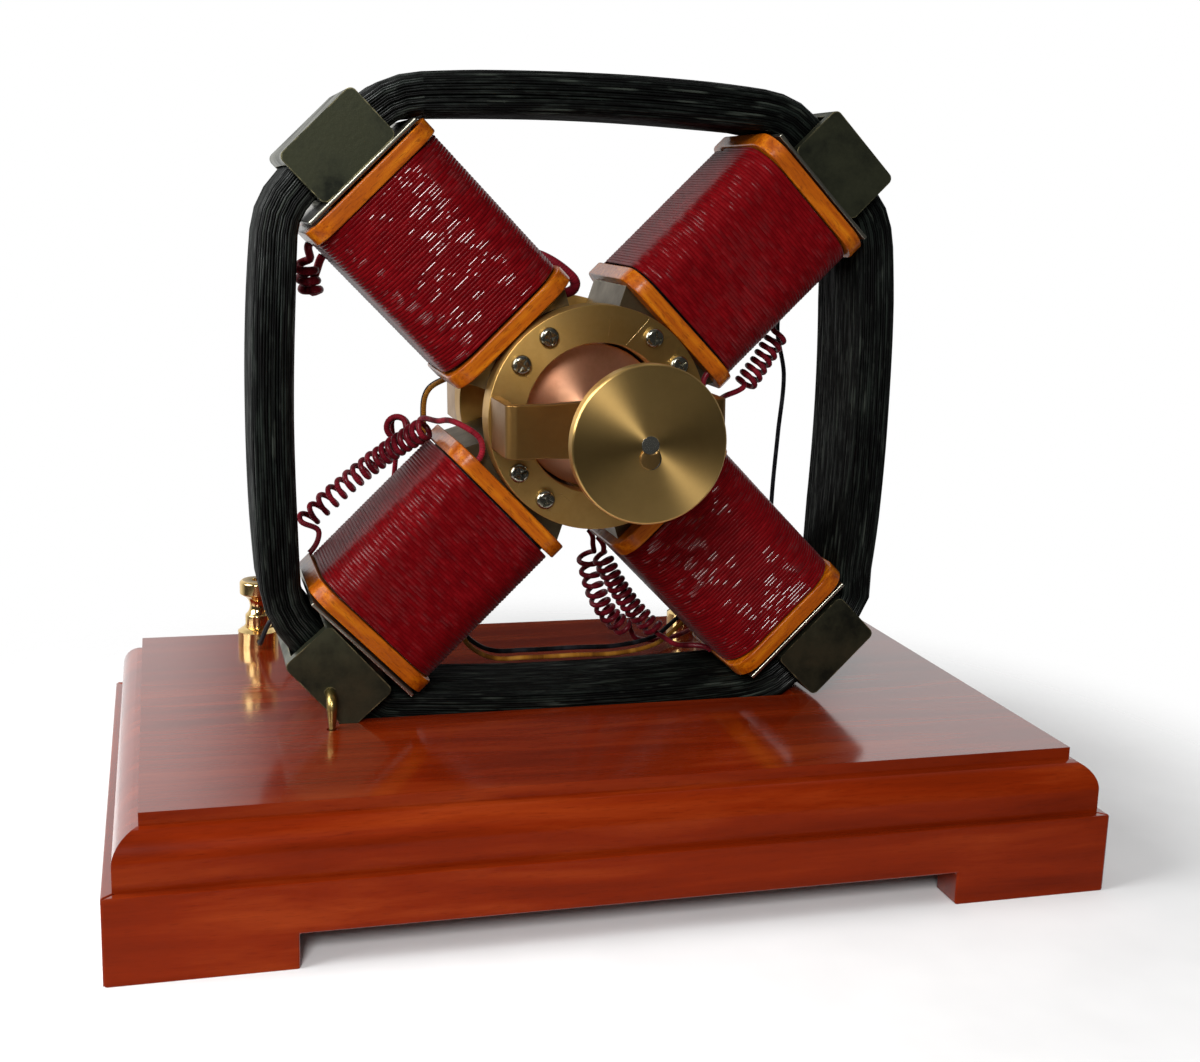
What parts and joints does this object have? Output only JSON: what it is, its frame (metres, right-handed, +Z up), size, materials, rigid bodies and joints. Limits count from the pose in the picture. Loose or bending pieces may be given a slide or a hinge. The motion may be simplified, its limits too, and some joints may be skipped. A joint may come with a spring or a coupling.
{
  "type": "demonstration electric motor",
  "caption": "Demonstration motor: crimson-wound coils in an X round a copper rotor with a brass disc, inside an iron-wire yoke on a moulded wooden plinth.",
  "frame": {"origin": "centre of the plinth on the surface it stands on", "axes": "+Z up, +X along the plinth's front to the right seen from the front, +Y from the disc to the back"},
  "size_m": [0.289, 0.1854, 0.2365],
  "materials": {
    "mahogany": "gloss",
    "block_wood": "matt",
    "flange_wood": "gloss",
    "silk": "satin",
    "inner_silk": "matt",
    "pole_iron": "satin",
    "block_steel": "satin",
    "plate_steel": "satin",
    "yoke_iron": "matt",
    "yoke_wire": "satin",
    "ring_brass": "satin",
    "post_brass": "polished",
    "hook_brass": "satin",
    "bush_bronze": "satin",
    "disc_brass": "turned",
    "screw_steel": "polished",
    "shaft_steel": "polished",
    "copper": "turned",
    "dark_cotton": "matt"
  },
  "bodies": {
    "stand": {"top_board": "mahogany", "front_board": "mahogany", "rear_board": "mahogany", "left_board": "mahogany", "right_board": "mahogany", "glue_blocks": "block_wood", "inner_flange_upper_left": "flange_wood", "inner_flange_upper_right": "flange_wood", "inner_flange_lower_right": "flange_wood", "inner_flange_lower_left": "flange_wood", "outer_flange_upper_left": "flange_wood", "outer_flange_upper_right": "flange_wood", "outer_flange_lower_right": "flange_wood", "outer_flange_lower_left": "flange_wood", "winding_upper_left": "silk", "winding_upper_right": "silk", "winding_lower_right": "silk", "winding_lower_left": "silk", "lead_left": "silk", "lead_rear": "silk", "lead_right": "silk", "lead_lower_front": "silk", "lead_lower_rear": "silk", "winding_cores": "inner_silk", "pole_upper_left": "pole_iron", "pole_upper_right": "pole_iron", "pole_lower_right": "pole_iron", "pole_lower_left": "pole_iron", "corner_block_upper_left": "block_steel", "corner_block_upper_right": "block_steel", "corner_block_lower_right": "block_steel", "corner_block_lower_left": "block_steel", "end_plates": "plate_steel", "yoke_core": "yoke_iron", "yoke_wires": "yoke_wire", "front_ring": "ring_brass", "rear_ring": "ring_brass", "front_bridge": "ring_brass", "rear_bridge": "ring_brass", "post_bases": "post_brass", "post_nuts": "post_brass", "hold_down_hooks": "hook_brass", "bearing_bushes": "bush_bronze", "ring_screws": "screw_steel", "post_lead_left": "dark_cotton", "post_lead_right": "dark_cotton", "cross_leads": "dark_cotton"},
    "rotor": {"copper_rotor": "copper", "rotor_core": "pole_iron", "shaft": "shaft_steel", "drive_disc": "disc_brass", "disc_key": "disc_brass"},
    "washer_left_outer": {"post_washer_left_outer": "post_brass"},
    "head_left_outer": {"post_head_left_outer": "post_brass"},
    "washer_left_inner": {"post_washer_left_inner": "post_brass"},
    "head_left_inner": {"post_head_left_inner": "post_brass"},
    "washer_right_inner": {"post_washer_right_inner": "post_brass"},
    "head_right_inner": {"post_head_right_inner": "post_brass"},
    "washer_right_outer": {"post_washer_right_outer": "post_brass"},
    "head_right_outer": {"post_head_right_outer": "post_brass"}
  },
  "joints": [
    {"name": "rotor_spin", "type": "hinge", "parent": "stand", "child": "rotor", "pos_m": [0, 0, 0.1357], "axis": [0, 1, 0], "continuous": true},
    {"name": "washer_lift_left_outer", "type": "slide", "parent": "stand", "child": "washer_left_outer", "axis": [0, 0, 1], "range_m": [0, 0.0028]},
    {"name": "head_turn_left_outer", "type": "hinge", "parent": "washer_left_outer", "child": "head_left_outer", "pos_m": [-0.0954, 0.0693, 0.0495], "axis": [0, 0, 1], "range_deg": [0, 1440]},
    {"name": "washer_lift_left_inner", "type": "slide", "parent": "stand", "child": "washer_left_inner", "axis": [0, 0, 1], "range_m": [0, 0.0028]},
    {"name": "head_turn_left_inner", "type": "hinge", "parent": "washer_left_inner", "child": "head_left_inner", "pos_m": [-0.0634, 0.0693, 0.0495], "axis": [0, 0, 1], "range_deg": [0, 1440]},
    {"name": "washer_lift_right_inner", "type": "slide", "parent": "stand", "child": "washer_right_inner", "axis": [0, 0, 1], "range_m": [0, 0.0028]},
    {"name": "head_turn_right_inner", "type": "hinge", "parent": "washer_right_inner", "child": "head_right_inner", "pos_m": [0.0634, 0.0693, 0.0495], "axis": [0, 0, 1], "range_deg": [0, 1440]},
    {"name": "washer_lift_right_outer", "type": "slide", "parent": "stand", "child": "washer_right_outer", "axis": [0, 0, 1], "range_m": [0, 0.0028]},
    {"name": "head_turn_right_outer", "type": "hinge", "parent": "washer_right_outer", "child": "head_right_outer", "pos_m": [0.0954, 0.0693, 0.0495], "axis": [0, 0, 1], "range_deg": [0, 1440]}
  ],
  "couplings": [
    {"joint": "washer_lift_left_outer", "follows": "head_turn_left_outer", "m_per_rad": 0.0001114},
    {"joint": "washer_lift_left_inner", "follows": "head_turn_left_inner", "m_per_rad": 0.0001114},
    {"joint": "washer_lift_right_inner", "follows": "head_turn_right_inner", "m_per_rad": 0.0001114},
    {"joint": "washer_lift_right_outer", "follows": "head_turn_right_outer", "m_per_rad": 0.0001114}
  ]
}
